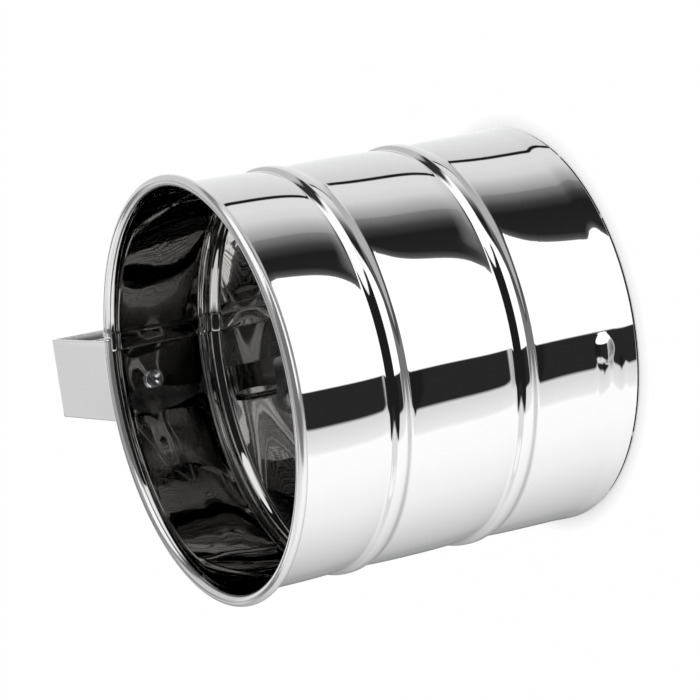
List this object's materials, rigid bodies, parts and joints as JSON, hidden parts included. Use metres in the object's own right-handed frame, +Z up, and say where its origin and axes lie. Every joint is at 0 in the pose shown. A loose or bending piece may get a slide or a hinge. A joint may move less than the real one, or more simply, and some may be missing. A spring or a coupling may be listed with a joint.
{
  "type": "squeeze-handle flour sifter",
  "caption": "Polished steel cup with a mesh base, a fixed strap handle and a sprung trigger that turns a bladed agitator over the mesh.",
  "frame": {"origin": "centre of the drum's open base, on the plane that the base edge stands on", "axes": "+Z up along the drum's axis to its mouth, +X out to the handle"},
  "size_m": [0.1528, 0.1056, 0.094],
  "materials": {
    "polished_steel": "mirror-polished stainless steel sheet",
    "satin_steel": "pressed stainless steel, lightly brushed",
    "rivet_steel": "turned stainless steel",
    "spring_steel": "drawn spring wire",
    "mesh_wire": "plain-woven stainless steel wire",
    "brass": "turned brass, dull"
  },
  "bodies": {
    "drum": {"drum_body": "polished_steel", "mesh_screen": "mesh_wire", "mesh_hoop": "polished_steel", "bridge": "satin_steel", "shaft_bush": "brass", "handle_grip": "polished_steel", "handle_rivets": "rivet_steel", "guide_stud": "rivet_steel", "guide_clip": "satin_steel", "grip_spring_seat": "satin_steel", "return_spring": "spring_steel"},
    "trigger": {"trigger_strap": "polished_steel", "pull_bar": "satin_steel", "link_rivets": "rivet_steel", "trigger_spring_seat": "satin_steel"},
    "agitator": {"agitator_shaft": "rivet_steel", "agitator_blade_lower": "satin_steel", "agitator_blade_upper": "satin_steel", "blade_collar": "rivet_steel", "crank_washer": "rivet_steel", "crank_arm": "satin_steel", "crank_nut": "rivet_steel", "crank_pin": "rivet_steel", "crank_pin_clip": "satin_steel"}
  },
  "joints": [
    {"name": "trigger_squeeze", "type": "slide", "parent": "drum", "child": "trigger", "axis": [1, 0, 0], "range_m": [0, 0.009], "stiffness_N_per_m": 500, "springref_m": -0.01, "deforming": ["return_spring"]},
    {"name": "agitator_turn", "type": "hinge", "parent": "drum", "child": "agitator", "pos_m": [0, 0, 0.012], "axis": [0, 0, 1], "range_deg": [0, 60]}
  ],
  "couplings": [
    {"joint": "agitator_turn", "follows": "trigger_squeeze", "rad_per_m": 116.35}
  ]
}
